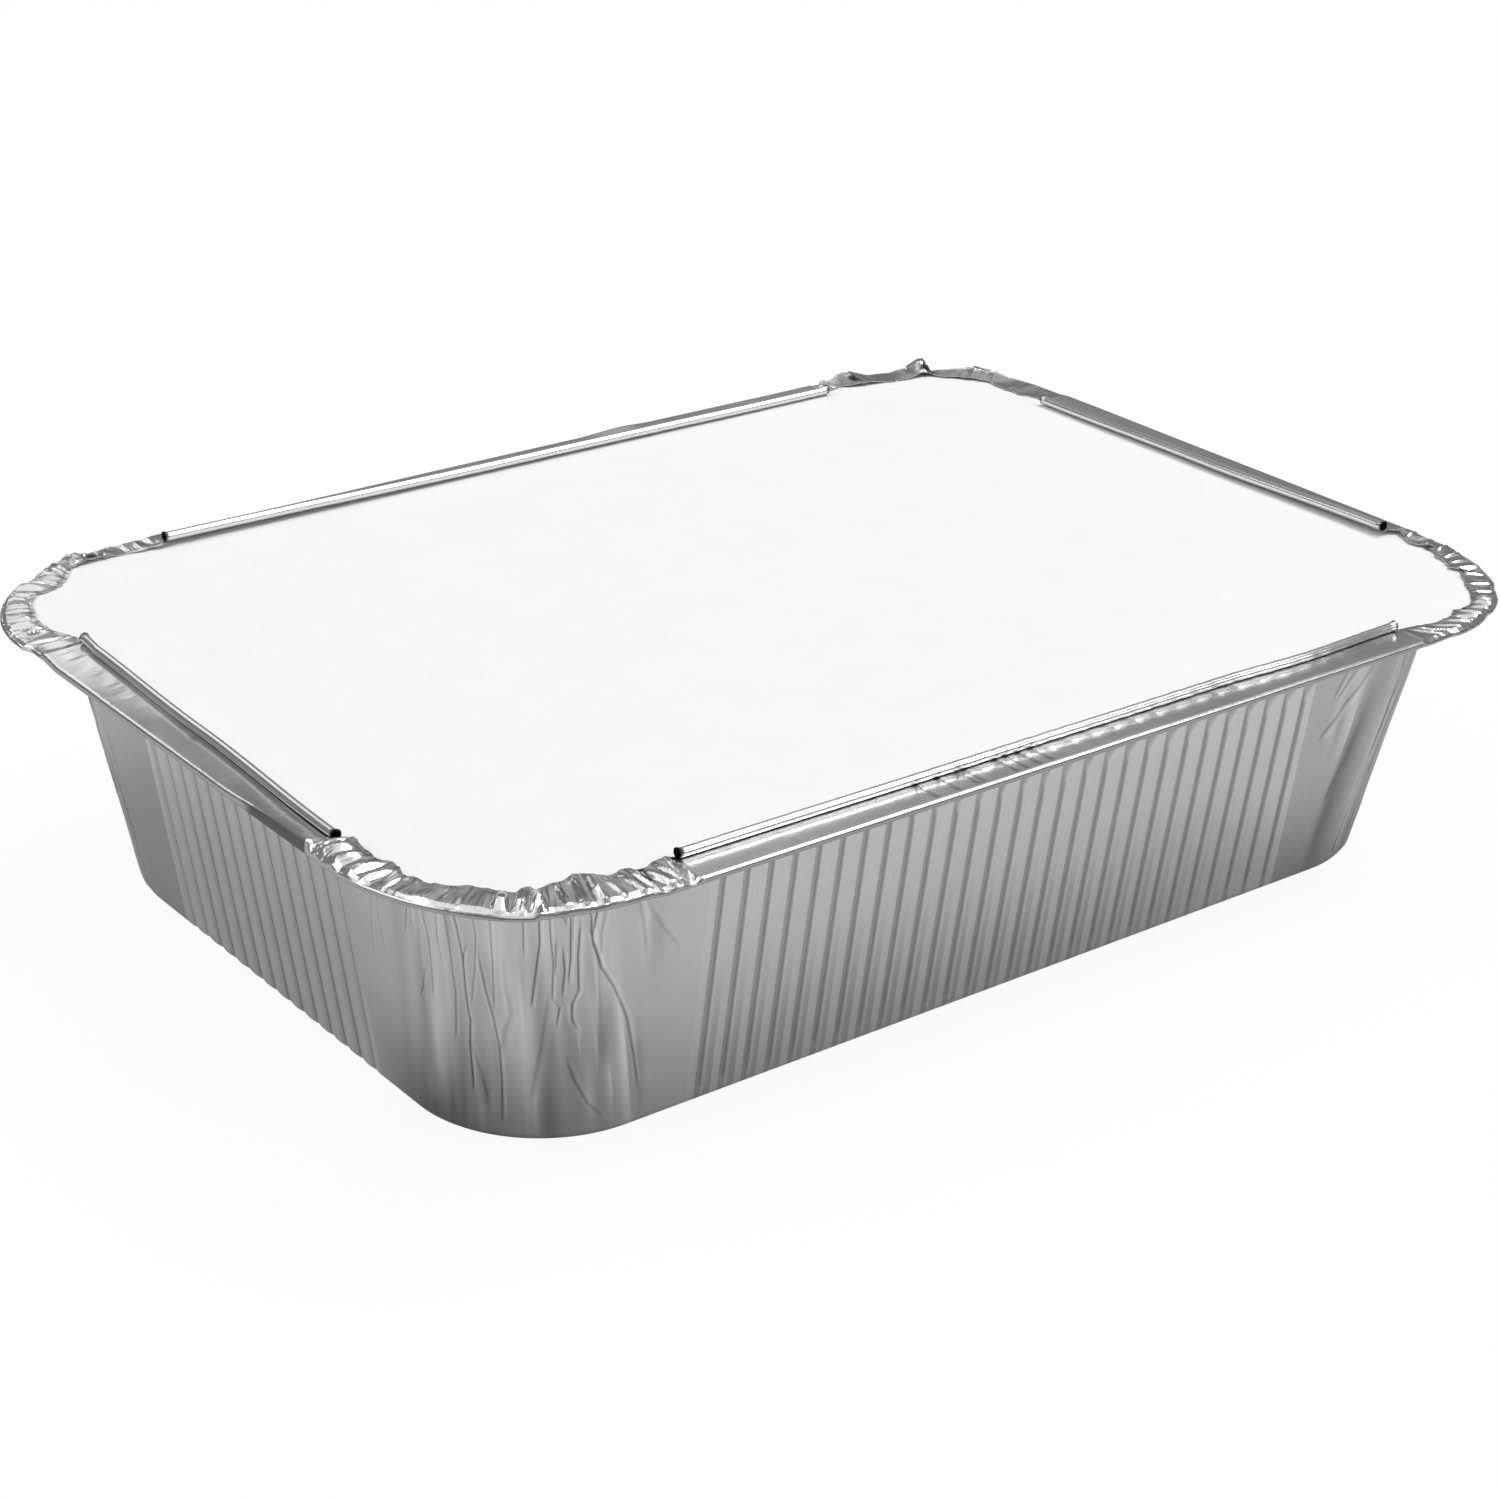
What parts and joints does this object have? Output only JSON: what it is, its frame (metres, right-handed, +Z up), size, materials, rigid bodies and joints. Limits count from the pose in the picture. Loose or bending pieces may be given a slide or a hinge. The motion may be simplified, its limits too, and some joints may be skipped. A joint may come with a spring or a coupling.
{
  "type": "foil food container",
  "caption": "Oblong foil takeaway tray with fluted walls, closed by a flat white card lid that its folded rim holds down.",
  "frame": {"origin": "centre of the base's underside, on the table", "axes": "+X along the long side, +Z up, the long wall nearest the camera faces -Y"},
  "size_m": [0.215, 0.1554, 0.0492],
  "materials": {
    "foil": "satin",
    "card": "matte"
  },
  "bodies": {
    "root": {"foil_tray": "foil", "card_lid": "card"}
  },
  "joints": []
}
